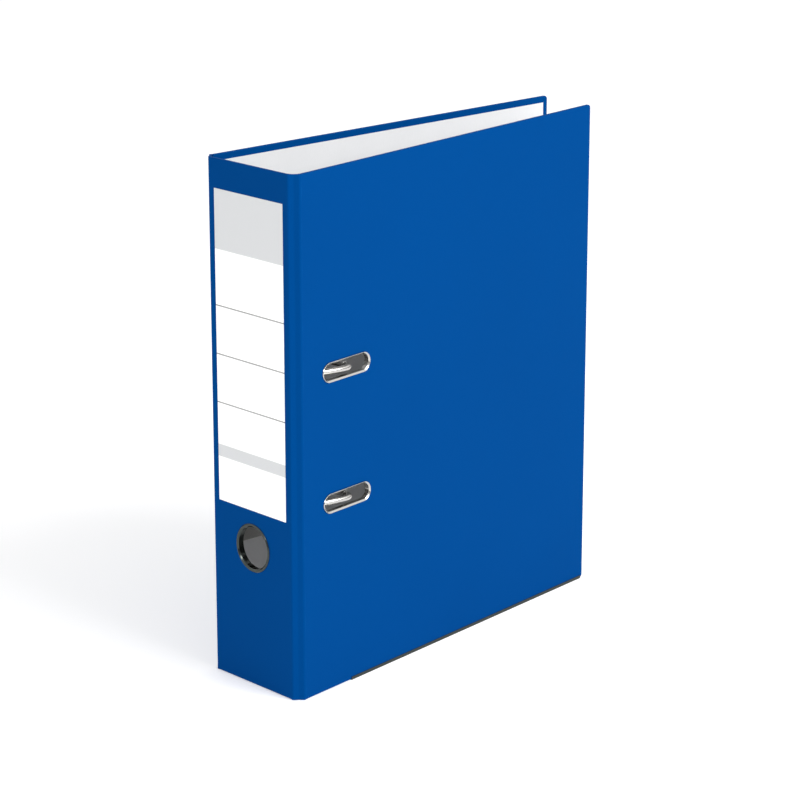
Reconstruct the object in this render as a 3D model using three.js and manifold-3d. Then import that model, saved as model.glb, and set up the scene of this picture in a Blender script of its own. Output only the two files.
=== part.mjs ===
// A lever arch file for A4 sheets, closed and standing on its lower edges.
// Millimetres, +Z up. X runs across the spine, Y from the spine to the fore edge.
// The back cover, which carries the mechanism, is at -X. The front cover, with its two eyelets, is at +X.
import * as THREE from "three";
import { mergeVertices } from "three/addons/utils/BufferGeometryUtils.js";
import Module from "manifold-3d";

const wasm = await Module();
wasm.setup();

// ---- Driving dimensions: the case ----
const coverHeight = 317.6; // covers and spine, lower edge to upper edge
const coverDepth = 285; // outer face of the spine to the fore edge
const spineWidth = 80; // over the outer faces of the two covers, at the spine
const closedTilt = 7.5; // degrees that the front cover leans in when the file is closed
const creaseRadius = 5.8; // outside radius of the two flexible corners
const filmThickness = 0.2;
const boardThickness = 1.8;
const linerThickness = 0.15;
const creaseThickness = 0.6; // film, liner and glue, with no board between them
const glueLine = 0.05;
const turnIn = 14; // film folded round an edge onto the inner face
const linerInset = 4; // film left showing round the liner
const seamGap = 0.15; // between neighbouring ends of the skin at a crease

// ---- Driving dimensions: trim on the case ----
const labelSideMargin = 9.75; // label to the outer face of a cover
const labelTopMargin = 17.6; // upper edge of the spine to the label
const labelRingMargin = 8.4; // lower edge of the label to the finger ring
const paperThickness = 0.15;
const ringHeight = 86.6; // lower edge of the spine to the middle of the finger hole
const ringOuterRadius = 15;
const ringRimWidth = 2;
const washerOverhang = 1.5; // washer past the ring's rim
const eyeletLength = 42.5;
const eyeletWidth = 12.4;
const eyeletRimWidth = 1.2;
const eyeletLead = 26.5; // near end of an eyelet to the posts, along the cover
const tubeWall = 0.5; // barrels of the ring and the eyelets
const rimProud = 0.75; // rims of the ring, the eyelets and the rivets over the film
const rimRound = 0.4; // rounding of those rims
const curlProud = 0.5; // the barrel's curl over the liner
const curlWidth = 1.1;
const curlRound = 0.2;
const holeClearance = 0.2;
const railThickness = 0.35;
const railLeg = 2.1; // height of the edge rail's two legs
const railStart = 48; // spine to the near end of an edge rail
const railEndInset = 2.5; // far end of an edge rail to the fore edge

// ---- Driving dimensions: the mechanism ----
const ringSpacing = 80; // between the two posts
const mechanismDrop = 3.4; // middle of the cover down to the middle of the mechanism
const eyeletRise = 1.2; // middle of an eyelet over the arch that it takes in
const postDepth = 50; // spine to the posts
const pivotDepth = 14; // spine to the axis on which the arches turn
const wireRadius = 2;
const postRadius = 2.2;
const archReach = 3.2; // arches into the eyelets, past the inner face of the closed cover
const archBend = 5; // bend over each post
const shoulderBend = 30; // bend over each leg
const footBend = 5; // bend from a leg into the axle
const crankBend = 2.6;
const crankRadius = 6.6; // cranked middle of the arch wire, from its axis
const crankAngle = 105; // degrees from the posts' side, with the arches closed
const crankHalfWidth = 12;
const axleGap = 0.45; // arch axle to the base plate
const strapGap = 0.25; // arch axle to the loops over it
const strapSpacing = 50;
const strapWidth = 6;
const dimpleAngle = 25; // slope of the posts' dimples and of the arches' tips
const dimpleRim = 0.35; // left round a dimple
const plateThickness = 0.9;
const plateStart = 8; // spine to the base plate
const plateDepth = 50;
const plateHeight = 158;
const plateCorner = 6;
const leverPivotDepth = 19; // spine to the lever's pin
const leverPivotRise = 5.6; // arch axle up to the lever's pin
const leverWidth = 12;
const sheetThickness = 1; // lever and ears
const earGap = 0.35;
const earBossRadius = 3.4;
const leverBossRadius = 4;
const rollerBossRadius = 2.4;
const leverTaper = 1.6; // web towards the spine from the pin to the top
const leverWaist = 2.6; // lever's pin to the spine side of the cheeks, above the roller
const waistRise = 9.5; // rim of the roller up to that waist
const cheekTop = 2.5; // depth of the lever's cheeks at its top
const cheekFlare = [4, 1.7]; // the cheeks widen again this far below the top, by this much
const leverOverPosts = 2; // top of the lever over the posts
const webGap = 1.5; // rim of the roller to the lever's web
const leverPinRadius = 1.5;
const pinHeadWidth = 1.1;
const pinHeadThickness = 0.9;
const rollerArm = 6; // lever's pin to the roller's pin
const rollerAngle = 120; // degrees from the posts' side, with the lever closed
const rollerRadius = 3;
const rollerPinRadius = 1.2;
const tabWidth = 19;
const tabReach = 9; // thumb tab past the lever, towards the spine
const tabCorner = 4;
const compressorWidth = 15;
const compressorLength = 120;
const compressorThickness = 1.2;
const postFlangeRadius = 4.4;
const postFlangeThickness = 0.9;
const postTailRadius = 1.5;
const ribHeight = 0.7; // pressed ribs on the base plate and the compressor bar
const plateRibWidth = 3;
const compressorRibWidth = 5;
const wireSteps = 132; // sections along the arch wire
const wireSides = 10;
const rivetRadius = 2;
const rivetInset = 7.5; // edge of the base plate to a rivet
const rivetHeadWidth = 2.5;
const rivetRollWidth = 1.2;
const rivetWall = 0.7;
const runningGap = 0.3; // between pieces that move past each other
const pinClearance = 0.1; // on the radius of a pin in its hole
const seatGap = 0.05; // between pieces that rest on each other

// ---- Worked out ----
const degrees = Math.PI / 180;
const overlap = 1; // how far a cutting tool passes the face that it cuts
const bottom = railThickness + seatGap; // lower edge of the skin, standing on the rails
const top = bottom + coverHeight;
const boardFace = filmThickness + glueLine; // depths below the outer face of a panel
const boardBack = boardFace + boardThickness;
const turnInFace = boardBack + glueLine;
const turnInBack = turnInFace + filmThickness;
const linerFace = turnInBack + glueLine;
const panelThickness = linerFace + linerThickness;
const frontTurn = 90 + closedTilt; // degrees that the skin turns at the front corner
const backTurn = 90;
const cornerLength = (turn) => creaseRadius * Math.tan((turn / 2) * degrees);

// Room inside the closed file, liner to liner, at a depth from the spine.
const roomAt = (depth) =>
  spineWidth - panelThickness - depth * Math.tan(closedTilt * degrees)
    - panelThickness / Math.cos(closedTilt * degrees);
const archTop = roomAt(postDepth) + archReach - wireRadius;
const postTop = archTop - archBend - runningGap;
const plateFace = seatGap; // heights over the back liner
const plateBack = plateFace + plateThickness;
const pivotHeight = plateBack + wireRadius + axleGap;
const leverPivotHeight = pivotHeight + leverPivotRise;
const leverTop = postTop + leverOverPosts;
const mechanismHeight = coverHeight / 2 - mechanismDrop;

// ---- Geometry helpers ----

// A closed geometry as a manifold solid, with its faces pointing out.
function solid(geometry) {
  const bare = geometry.index ? geometry.toNonIndexed() : geometry.clone();
  for (const name of Object.keys(bare.attributes)) {
    if (name !== "position") bare.deleteAttribute(name);
  }
  const merged = mergeVertices(bare, 1e-4);
  const build = (triVerts) => new wasm.Manifold(
    new wasm.Mesh({ numProp: 3, vertProperties: merged.attributes.position.array, triVerts }),
  );
  const faces = new Uint32Array(merged.index.array);
  const made = build(faces);
  if (made.volume() > 0) return made;
  for (let i = 0; i < faces.length; i += 3) faces.subarray(i, i + 2).reverse();
  return build(faces);
}

// A manifold solid as a geometry again.
function geometryOf(body) {
  const mesh = body.getMesh();
  const position = new Float32Array(mesh.vertProperties);
  return new THREE.BufferGeometry()
    .setAttribute("position", new THREE.BufferAttribute(position, 3))
    .setIndex(new THREE.BufferAttribute(new Uint32Array(mesh.triVerts), 1));
}

const join = (...pieces) => geometryOf(pieces.map(solid).reduce((sum, one) => sum.add(one)));
const cut = (piece, ...tools) =>
  geometryOf(tools.map(solid).reduce((rest, tool) => rest.subtract(tool), solid(piece)));

function block(x0, x1, y0, y1, z0, z1) {
  return new THREE.BoxGeometry(x1 - x0, y1 - y0, z1 - z0)
    .translate((x0 + x1) / 2, (y0 + y1) / 2, (z0 + z1) / 2);
}

// An outline in X and Y, carried along Z.
function prism(shape, z0, z1, curveSegments = 8) {
  return new THREE.ExtrudeGeometry(shape, { depth: z1 - z0, bevelEnabled: false, curveSegments })
    .translate(0, 0, z0);
}

// An outline in Y and Z, carried along X.
function plate(shape, x0, x1, curveSegments = 8) {
  const axes = new THREE.Matrix4().makeBasis(
    new THREE.Vector3(0, 1, 0),
    new THREE.Vector3(0, 0, 1),
    new THREE.Vector3(1, 0, 0),
  );
  return new THREE.ExtrudeGeometry(shape, { depth: x1 - x0, bevelEnabled: false, curveSegments })
    .applyMatrix4(axes)
    .translate(x0, 0, 0);
}

// A profile of radius and height, turned round the Y axis.
function turned(profile, segments = 20) {
  return new THREE.LatheGeometry(profile.map(([r, y]) => new THREE.Vector2(r, y)), segments);
}

const turnedAlongX = (profile, segments) => turned(profile, segments).rotateZ(-Math.PI / 2);
const turnedAlongZ = (profile, segments) => turned(profile, segments).rotateX(Math.PI / 2);

const rod = (radius, y0, y1, segments = 20) =>
  turned([[0, y0], [radius, y0], [radius, y1], [0, y1]], segments);

function roundedRectangle(x0, x1, y0, y1, radius) {
  const shape = new THREE.Shape();
  shape.moveTo(x0 + radius, y0);
  shape.lineTo(x1 - radius, y0);
  shape.absarc(x1 - radius, y0 + radius, radius, -Math.PI / 2, 0, false);
  shape.lineTo(x1, y1 - radius);
  shape.absarc(x1 - radius, y1 - radius, radius, 0, Math.PI / 2, false);
  shape.lineTo(x0 + radius, y1);
  shape.absarc(x0 + radius, y1 - radius, radius, Math.PI / 2, Math.PI, false);
  shape.lineTo(x0, y0 + radius);
  shape.absarc(x0 + radius, y0 + radius, radius, Math.PI, Math.PI * 1.5, false);
  return shape;
}

// A round-cornered route through points, as lines joined by bends.
function bentRoute(points, bends) {
  const corners = points.map((p) => new THREE.Vector3(...p));
  const path = new THREE.CurvePath();
  let from = corners[0];
  for (let i = 1; i < corners.length - 1; i++) {
    const before = corners[i - 1].clone().sub(corners[i]).setLength(bends[i - 1]).add(corners[i]);
    const after = corners[i + 1].clone().sub(corners[i]).setLength(bends[i - 1]).add(corners[i]);
    path.add(new THREE.LineCurve3(from, before));
    path.add(new THREE.QuadraticBezierCurve3(before, corners[i], after));
    from = after;
  }
  path.add(new THREE.LineCurve3(from, corners.at(-1)));
  return path;
}

// A round wire along a path.
function wire(path, radius, steps, sides) {
  const section = new THREE.Shape(
    Array.from({ length: sides }, (_, i) => {
      const angle = ((i + 0.5) / sides) * 2 * Math.PI;
      return new THREE.Vector2(Math.cos(angle), Math.sin(angle)).multiplyScalar(radius);
    }),
  );
  return new THREE.ExtrudeGeometry(section, { steps, extrudePath: path, bevelEnabled: false });
}

// ---- Materials ----
const finish = (color, roughness, metalness) =>
  new THREE.MeshStandardMaterial({ color, roughness, metalness });
const blueFilm = finish(0x0054a3, 0.42, 0);
const whiteLiner = finish(0xe9e9ec, 0.7, 0);
const greyboard = finish(0x8f877a, 0.9, 0);
const labelPaper = finish(0xf6f6f4, 0.6, 0);
const nickel = finish(0xc6c8c9, 0.22, 1);
const darkNickel = finish(0x8f9596, 0.3, 1);

function part(name, geometry, material) {
  const closed = geometryOf(solid(geometry));
  closed.computeVertexNormals();
  const mesh = new THREE.Mesh(closed, material);
  mesh.name = name;
  return mesh;
}

// ---- Cover panels, in a frame with the outer face at x = 0 and the spine's face at y = 0 ----

// side is +1 for the front cover, whose inside is towards -X, and -1 for the back cover.
function slab(side, depth0, depth1, y0, y1, z0, z1) {
  const xs = [-side * depth0, -side * depth1].sort((a, b) => a - b);
  return block(xs[0], xs[1], y0, y1, z0, z1);
}

function coverFilm(side, turn, tools) {
  const start = cornerLength(turn) + seamGap / 2;
  const skin = slab(side, 0, turnInBack, start, coverDepth, bottom, top);
  const hollow = slab(
    side, filmThickness, turnInFace, start - overlap, coverDepth - filmThickness,
    bottom + filmThickness, top - filmThickness,
  );
  const mouth = slab(
    side, boardBack, turnInBack + overlap, start - overlap, coverDepth - turnIn,
    bottom + turnIn, top - turnIn,
  );
  return cut(skin, hollow, mouth, ...tools);
}

function coverBoard(side, turn, tools) {
  const start = cornerLength(turn) + seamGap / 2;
  const edge = boardFace;
  const board = slab(
    side, boardFace, boardBack, start, coverDepth - edge, bottom + edge, top - edge,
  );
  return cut(board, ...tools);
}

function coverLiner(side, turn, tools) {
  const start = cornerLength(turn) + seamGap / 2;
  const liner = slab(
    side, linerFace, panelThickness, start, coverDepth - linerInset,
    bottom + linerInset, top - linerInset,
  );
  return cut(liner, ...tools);
}

// A folded steel strip over the lower edge of a cover.
function edgeRail(side) {
  const inner = seatGap;
  const outer = seatGap + railThickness;
  const y0 = railStart;
  const y1 = coverDepth - railEndInset;
  const channel = slab(side, -outer, turnInBack + outer, y0, y1, 0, railLeg);
  const groove = slab(
    side, -inner, turnInBack + inner, y0 - overlap, y1 + overlap, railThickness, railLeg + overlap,
  );
  return cut(channel, groove);
}

// Half of a crease, from its flat panel to the hinge line in the middle of the bend.
// centre is the bend's middle, and from and to are angles in the X-Y plane.
function creaseHalf(centre, from, to) {
  const inner = creaseRadius - creaseThickness;
  const clockwise = to < from;
  const shape = new THREE.Shape();
  shape.absarc(centre[0], centre[1], creaseRadius, from, to, clockwise);
  shape.absarc(centre[0], centre[1], inner, to, from, !clockwise);
  return prism(shape, bottom, top, 6);
}

function coverCrease(side, turn) {
  const seam = seamGap / creaseRadius;
  const centre = [-side * creaseRadius, cornerLength(turn)];
  const tangent = side > 0 ? 0 : Math.PI;
  const reach = (turn / 2) * degrees - seam;
  return creaseHalf(centre, tangent - side * seam, tangent - side * reach);
}

function spineCrease(side, turn) {
  const seam = seamGap / creaseRadius;
  const centre = [side * (spineWidth / 2 - cornerLength(turn)), creaseRadius];
  const tangent = -Math.PI / 2;
  const reach = (turn / 2) * degrees - seam;
  return creaseHalf(centre, tangent + side * seam, tangent + side * reach);
}

// ---- Spine, in a frame with the outer face at y = 0 ----
const spineEnds = [
  -(spineWidth / 2 - cornerLength(backTurn) - seamGap / 2),
  spineWidth / 2 - cornerLength(frontTurn) - seamGap / 2,
];
const ringZ = bottom + ringHeight;
const ringBoreRadius = ringOuterRadius - ringRimWidth;
const ringTubeRadius = ringBoreRadius + tubeWall;
const fingerHole = () =>
  rod(ringTubeRadius + holeClearance, -overlap, panelThickness + overlap, 32).translate(0, 0, ringZ);

function spineFilm() {
  const [x0, x1] = spineEnds;
  const skin = block(x0, x1, 0, turnInBack, bottom, top);
  const hollow = block(
    x0 - overlap, x1 + overlap, filmThickness, turnInFace, bottom + filmThickness, top - filmThickness,
  );
  const mouth = block(
    x0 - overlap, x1 + overlap, boardBack, turnInBack + overlap, bottom + turnIn, top - turnIn,
  );
  return cut(skin, hollow, mouth, fingerHole());
}

function spineBoard() {
  const [x0, x1] = spineEnds;
  const board = block(x0, x1, boardFace, boardBack, bottom + boardFace, top - boardFace);
  return cut(board, fingerHole());
}

function spineLiner() {
  const [x0, x1] = spineEnds;
  const liner = block(x0, x1, linerFace, panelThickness, bottom + linerInset, top - linerInset);
  return cut(liner, fingerHole());
}

function label() {
  const half = spineWidth / 2 - labelSideMargin;
  const z0 = ringZ + ringOuterRadius + labelRingMargin;
  return block(-half, half, -seatGap - paperThickness, -seatGap, z0, top - labelTopMargin);
}

const washerFace = panelThickness + seatGap;
const washerBack = washerFace + curlProud;

function fingerRing() {
  const curlFace = washerBack + seatGap;
  const curlBack = curlFace + curlProud;
  return turned([
    [ringBoreRadius, curlBack - curlRound],
    [ringBoreRadius, rimRound - rimProud],
    [ringBoreRadius + rimRound, -rimProud],
    [ringOuterRadius - rimRound, -rimProud],
    [ringOuterRadius, rimRound - rimProud],
    [ringOuterRadius, -seatGap],
    [ringTubeRadius, -seatGap],
    [ringTubeRadius, curlFace],
    [ringTubeRadius + curlWidth, curlFace],
    [ringTubeRadius + curlWidth, curlBack - curlRound],
    [ringTubeRadius + curlWidth - curlRound, curlBack],
    [ringBoreRadius + curlRound, curlBack],
    [ringBoreRadius, curlBack - curlRound],
  ], 40).translate(0, 0, ringZ);
}

function fingerRingWasher() {
  const bore = ringTubeRadius + holeClearance;
  return turned([
    [bore, washerFace],
    [ringOuterRadius + washerOverhang, washerFace],
    [ringOuterRadius + washerOverhang, washerBack],
    [bore, washerBack],
    [bore, washerFace],
  ], 32).translate(0, 0, ringZ);
}

// ---- Eyelets, in the front cover's frame ----
const eyeletRadius = eyeletWidth / 2;
const eyeletBoreRadius = eyeletRadius - eyeletRimWidth;
const eyeletTubeRadius = eyeletBoreRadius + tubeWall;
const eyeletMiddle = postDepth - eyeletLead + eyeletLength / 2;
const eyeletStraight = eyeletLength - eyeletWidth;
const eyeletHeights = [-ringSpacing / 2, ringSpacing / 2].map(
  (z) => bottom + mechanismHeight + eyeletRise + z,
);

// A turned ring with its two halves drawn apart along Y into a long oval.
function drawnApart(geometry, length) {
  const position = geometry.attributes.position;
  for (let i = 0; i < position.count; i++) {
    position.setY(i, position.getY(i) + (Math.sign(position.getY(i)) * length) / 2);
  }
  return geometry;
}

function ovalTurned(profile, segments) {
  const points = profile.map(([r, y]) => new THREE.Vector2(r, y));
  const ring = new THREE.LatheGeometry(points, segments, Math.PI / segments).rotateZ(-Math.PI / 2);
  return drawnApart(ring, eyeletStraight);
}

function eyeletSlot(z) {
  const radius = eyeletTubeRadius + holeClearance;
  const inside = -panelThickness - overlap;
  return ovalTurned([[0, inside], [radius, inside], [radius, overlap], [0, overlap]], 24)
    .translate(0, eyeletMiddle, z);
}

function eyelet(z) {
  const curlFace = -panelThickness - seatGap;
  const curlBack = curlFace - curlProud;
  return ovalTurned([
    [eyeletBoreRadius, curlBack + curlRound],
    [eyeletBoreRadius, rimProud - rimRound],
    [eyeletBoreRadius + rimRound, rimProud],
    [eyeletRadius - rimRound, rimProud],
    [eyeletRadius, rimProud - rimRound],
    [eyeletRadius, seatGap],
    [eyeletTubeRadius, seatGap],
    [eyeletTubeRadius, curlFace],
    [eyeletTubeRadius + curlWidth, curlFace],
    [eyeletTubeRadius + curlWidth, curlBack + curlRound],
    [eyeletTubeRadius + curlWidth - curlRound, curlBack],
    [eyeletBoreRadius + curlRound, curlBack],
    [eyeletBoreRadius, curlBack + curlRound],
  ], 24).translate(0, eyeletMiddle, z);
}

// ---- Mechanism: x is height over the back liner, y depth from the spine, z = 0 its middle ----
const plateEnd = plateStart + plateDepth;
const postFlangeBack = plateBack + seatGap + postFlangeThickness;
const postPlaces = [-ringSpacing / 2, ringSpacing / 2];
const rivetPlaces = [plateStart + rivetInset, plateEnd - rivetInset].flatMap((y) =>
  [-1, 1].map((s) => [y, s * (plateHeight / 2 - rivetInset)]));
const dimpleSlope = Math.tan(dimpleAngle * degrees);
const dimpleRadius = postRadius - dimpleRim;

const holeAlongX = (radius, x0, x1, y, z) =>
  turnedAlongX([[0, x0], [radius, x0], [radius, x1], [0, x1]], 16).translate(0, y, z);
const holeAlongZ = (radius, z0, z1, x, y) =>
  turnedAlongZ([[0, z0], [radius, z0], [radius, z1], [0, z1]], 16).translate(x, y, 0);

// Holes through the back cover's skin, board and liner, in the cover's own frame.
const rivetHoles = () => rivetPlaces.map(([y, z]) => holeAlongX(
  rivetRadius + holeClearance, -overlap, panelThickness + overlap, y, bottom + mechanismHeight + z,
));

const rooted = 0.3; // how far a raised feature runs into the sheet it is pressed from
const endFlat = 0.1; // half of the flat left at the round end of a rib or bar
const earFace = leverWidth / 2 + earGap;
const earBack = earFace + sheetThickness;
const earFoot = 5; // lever's pin to the near edge of an ear, along the plate
const strapInner = wireRadius + strapGap;
const strapOuter = strapInner + plateThickness;

function ear(z0) {
  const shape = new THREE.Shape();
  shape.moveTo(plateBack - rooted, leverPivotDepth - earFoot);
  shape.lineTo(leverPivotHeight, leverPivotDepth - earBossRadius);
  shape.absarc(
    leverPivotHeight, leverPivotDepth, earBossRadius, -Math.PI / 2, Math.PI / 2, false,
  );
  shape.lineTo(plateBack - rooted, leverPivotDepth + earFoot);
  return prism(shape, z0, z0 + sheetThickness);
}

// A loop pressed up out of the base plate over the arch wire.
function strap(z) {
  const foot = plateBack - rooted;
  const shape = new THREE.Shape();
  shape.moveTo(foot, pivotDepth - strapOuter);
  shape.lineTo(pivotHeight, pivotDepth - strapOuter);
  shape.absarc(pivotHeight, pivotDepth, strapOuter, -Math.PI / 2, Math.PI / 2, false);
  shape.lineTo(foot, pivotDepth + strapOuter);
  shape.lineTo(foot, pivotDepth + strapInner);
  shape.lineTo(pivotHeight, pivotDepth + strapInner);
  shape.absarc(pivotHeight, pivotDepth, strapInner, Math.PI / 2, -Math.PI / 2, true);
  shape.lineTo(foot, pivotDepth - strapInner);
  return prism(shape, z - strapWidth / 2, z + strapWidth / 2);
}

// A long raised rib on a sheet whose upper face is at height back.
function rib(depth, width, halfLength, back) {
  const half = width / 2;
  return plate(
    roundedRectangle(depth - half, depth + half, -halfLength, halfLength, half - endFlat),
    back - rooted, back + ribHeight,
  );
}

function basePlate() {
  const half = plateHeight / 2;
  const sheet = plate(
    roundedRectangle(plateStart, plateEnd, -half, half, plateCorner), plateFace, plateBack,
  );
  const ribs = rib((postDepth + pivotDepth) / 2, plateRibWidth, half - 2 * rivetInset, plateBack);
  const straps = [-strapSpacing / 2, strapSpacing / 2].map(strap);
  const raised = join(sheet, ribs, ear(earFace), ear(-earBack), ...straps);
  const pinHole = holeAlongZ(
    leverPinRadius + pinClearance, -earBack - overlap, earBack + overlap,
    leverPivotHeight, leverPivotDepth,
  );
  const rivets = rivetPlaces.map(([y, z]) =>
    holeAlongX(rivetRadius + holeClearance, -overlap, plateBack + overlap, y, z));
  const tails = postPlaces.map((z) =>
    holeAlongX(postTailRadius + pinClearance, -overlap, plateBack + overlap, postDepth, z));
  return cut(raised, pinHole, ...rivets, ...tails);
}

function post(z) {
  return turnedAlongX([
    [0, plateFace + seatGap],
    [postTailRadius, plateFace + seatGap],
    [postTailRadius, plateBack + seatGap],
    [postFlangeRadius, plateBack + seatGap],
    [postFlangeRadius, postFlangeBack],
    [postRadius, postFlangeBack],
    [postRadius, postTop - curlRound],
    [postRadius - curlRound, postTop],
    [dimpleRadius, postTop],
    [0, postTop - dimpleRadius * dimpleSlope],
  ], 20).translate(0, postDepth, z);
}

// One wire: arch, leg, axle, crank, axle, leg, arch.
function archWire() {
  const crankX = pivotHeight + crankRadius * Math.sin(crankAngle * degrees);
  const crankY = pivotDepth + crankRadius * Math.cos(crankAngle * degrees);
  const half = ringSpacing / 2;
  const upper = [
    [postTop + runningGap, postDepth, half],
    [archTop, postDepth, half],
    [archTop, pivotDepth, half],
    [pivotHeight, pivotDepth, half],
    [pivotHeight, pivotDepth, crankHalfWidth],
    [crankX, crankY, crankHalfWidth],
  ];
  const bends = [archBend, shoulderBend, footBend, crankBend, crankBend];
  const lower = upper.map(([x, y, z]) => [x, y, -z]).reverse();
  const path = bentRoute([...upper, ...lower], [...bends, ...bends.toReversed()]);
  const tipRadius = dimpleRadius - pinClearance;
  const tipLength = tipRadius * dimpleSlope;
  const tips = postPlaces.map((z) => turnedAlongX(
    [[0, -tipLength], [tipRadius, 0], [tipRadius, rooted], [0, rooted]], 16,
  ).translate(postTop + runningGap, postDepth, z));
  return join(wire(path, wireRadius, wireSteps, wireSides), ...tips);
}

const rollerX = leverPivotHeight + rollerArm * Math.sin(rollerAngle * degrees);
const rollerY = leverPivotDepth + rollerArm * Math.cos(rollerAngle * degrees);
const webStart = rollerX + rollerRadius + webGap;
const webEdge = (x) => {
  const along = (x - leverPivotHeight) / (leverTop - leverPivotHeight);
  return leverPivotDepth + leverBossRadius - leverTaper * along;
};

function leverCheek(z0) {
  const shape = new THREE.Shape();
  shape.moveTo(leverPivotHeight, leverPivotDepth + leverBossRadius);
  shape.absarc(
    leverPivotHeight, leverPivotDepth, leverBossRadius, Math.PI / 2, Math.PI * 1.25, false,
  );
  shape.absarc(rollerX, rollerY, rollerBossRadius, Math.PI * 1.25, Math.PI * 1.75, false);
  shape.lineTo(rollerX + rollerRadius + waistRise, leverPivotDepth - leverWaist);
  shape.lineTo(leverTop - cheekFlare[0], webEdge(leverTop) - cheekTop - cheekFlare[1]);
  shape.lineTo(leverTop, webEdge(leverTop) - cheekTop);
  shape.lineTo(leverTop, webEdge(leverTop));
  return prism(shape, z0, z0 + sheetThickness);
}

function lever() {
  const half = leverWidth / 2;
  const web = prism(new THREE.Shape([
    new THREE.Vector2(webStart, webEdge(webStart) - sheetThickness),
    new THREE.Vector2(leverTop, webEdge(leverTop) - sheetThickness),
    new THREE.Vector2(leverTop, webEdge(leverTop)),
    new THREE.Vector2(webStart, webEdge(webStart)),
  ]), -half, half);
  const tabEnd = webEdge(leverTop) - cheekTop - tabReach;
  const tab = plate(
    roundedRectangle(tabEnd, webEdge(leverTop), -tabWidth / 2, tabWidth / 2, tabCorner),
    leverTop - sheetThickness, leverTop,
  );
  const body = join(leverCheek(-half), leverCheek(half - sheetThickness), web, tab);
  const pinHole = holeAlongZ(
    leverPinRadius + pinClearance, -half - overlap, half + overlap,
    leverPivotHeight, leverPivotDepth,
  );
  const rollerHole = holeAlongZ(
    rollerPinRadius + pinClearance, -half - overlap, half + overlap, rollerX, rollerY,
  );
  return cut(body, pinHole, rollerHole);
}

function leverPin() {
  const end = earBack + seatGap;
  const head = end + pinHeadThickness;
  const headRadius = leverPinRadius + pinHeadWidth;
  const round = pinHeadThickness / 2;
  return turnedAlongZ([
    [0, -head], [headRadius - round, -head], [headRadius, -head + round], [headRadius, -end],
    [leverPinRadius, -end], [leverPinRadius, end],
    [headRadius, end], [headRadius, head - round], [headRadius - round, head], [0, head],
  ], 20).translate(leverPivotHeight, leverPivotDepth, 0);
}

function roller() {
  const half = leverWidth / 2 - sheetThickness - runningGap;
  const bore = rollerPinRadius + pinClearance;
  const shoulder = rollerRadius - curlRound;
  return turnedAlongZ([
    [bore, -half], [shoulder, -half], [rollerRadius, -half + curlRound],
    [rollerRadius, half - curlRound], [shoulder, half], [bore, half], [bore, -half],
  ], 20).translate(rollerX, rollerY, 0);
}

function rollerPin() {
  const half = leverWidth / 2 - seatGap;
  return turnedAlongZ(
    [[0, -half], [rollerPinRadius, -half], [rollerPinRadius, half], [0, half]], 16,
  ).translate(rollerX, rollerY, 0);
}

function rivet([y, z]) {
  const outside = -panelThickness - seatGap;
  const inside = plateBack + seatGap;
  const headRadius = rivetRadius + rivetHeadWidth;
  const rollRadius = rivetRadius + rivetRollWidth;
  const bore = rivetRadius - rivetWall;
  const rollTop = inside + rivetWall;
  return turnedAlongX([
    [0, outside - rimProud], [headRadius - rivetWall * 2, outside - rimProud],
    [headRadius, outside - rimProud + rimRound], [headRadius, outside],
    [rivetRadius, outside], [rivetRadius, inside], [rollRadius, inside],
    [rollRadius, rollTop - rimRound], [rollRadius - rimRound, rollTop],
    [bore + rimRound, rollTop], [bore, inside], [bore, 0], [0, 0],
  ], 16).translate(0, y, z);
}

const compressorFace = postFlangeBack + seatGap;

function compressorBar() {
  const half = compressorWidth / 2;
  const back = compressorFace + compressorThickness;
  const bar = plate(
    roundedRectangle(
      postDepth - half, postDepth + half, -compressorLength / 2, compressorLength / 2,
      half - endFlat,
    ),
    compressorFace, back,
  );
  const raised = rib(postDepth, compressorRibWidth, (ringSpacing - compressorWidth) / 2, back);
  const holes = postPlaces.map((z) =>
    holeAlongX(postRadius + runningGap, compressorFace - overlap, back + overlap, postDepth, z));
  return cut(join(bar, raised), ...holes);
}

// ---- Assembly ----

function backCover() {
  const group = new THREE.Group();
  group.position.x = -spineWidth / 2;
  const holes = rivetHoles();
  group.add(
    part("back_cover_film", coverFilm(-1, backTurn, holes), blueFilm),
    part("back_cover_board", coverBoard(-1, backTurn, holes), greyboard),
    part("back_cover_liner", coverLiner(-1, backTurn, holes), whiteLiner),
    part("back_crease_cover_side", coverCrease(-1, backTurn), blueFilm),
    part("back_edge_rail", edgeRail(-1), darkNickel),
  );
  return group;
}

function spine() {
  const group = new THREE.Group();
  group.add(
    part("spine_film", spineFilm(), blueFilm),
    part("spine_board", spineBoard(), greyboard),
    part("spine_liner", spineLiner(), whiteLiner),
    part("back_crease_spine_side", spineCrease(-1, backTurn), blueFilm),
    part("front_crease_spine_side", spineCrease(1, frontTurn), blueFilm),
    part("spine_label", label(), labelPaper),
    part("finger_ring", fingerRing(), darkNickel),
    part("finger_ring_washer", fingerRingWasher(), darkNickel),
  );
  return group;
}

function frontCover() {
  const group = new THREE.Group();
  group.position.x = spineWidth / 2;
  group.rotation.z = closedTilt * degrees;
  const slots = eyeletHeights.map(eyeletSlot);
  group.add(
    part("front_cover_film", coverFilm(1, frontTurn, slots), blueFilm),
    part("front_cover_board", coverBoard(1, frontTurn, slots), greyboard),
    part("front_cover_liner", coverLiner(1, frontTurn, slots), whiteLiner),
    part("front_crease_cover_side", coverCrease(1, frontTurn), blueFilm),
    part("front_edge_rail", edgeRail(1), darkNickel),
    part("eyelet_lower", eyelet(eyeletHeights[0]), nickel),
    part("eyelet_upper", eyelet(eyeletHeights[1]), nickel),
  );
  return group;
}

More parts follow.
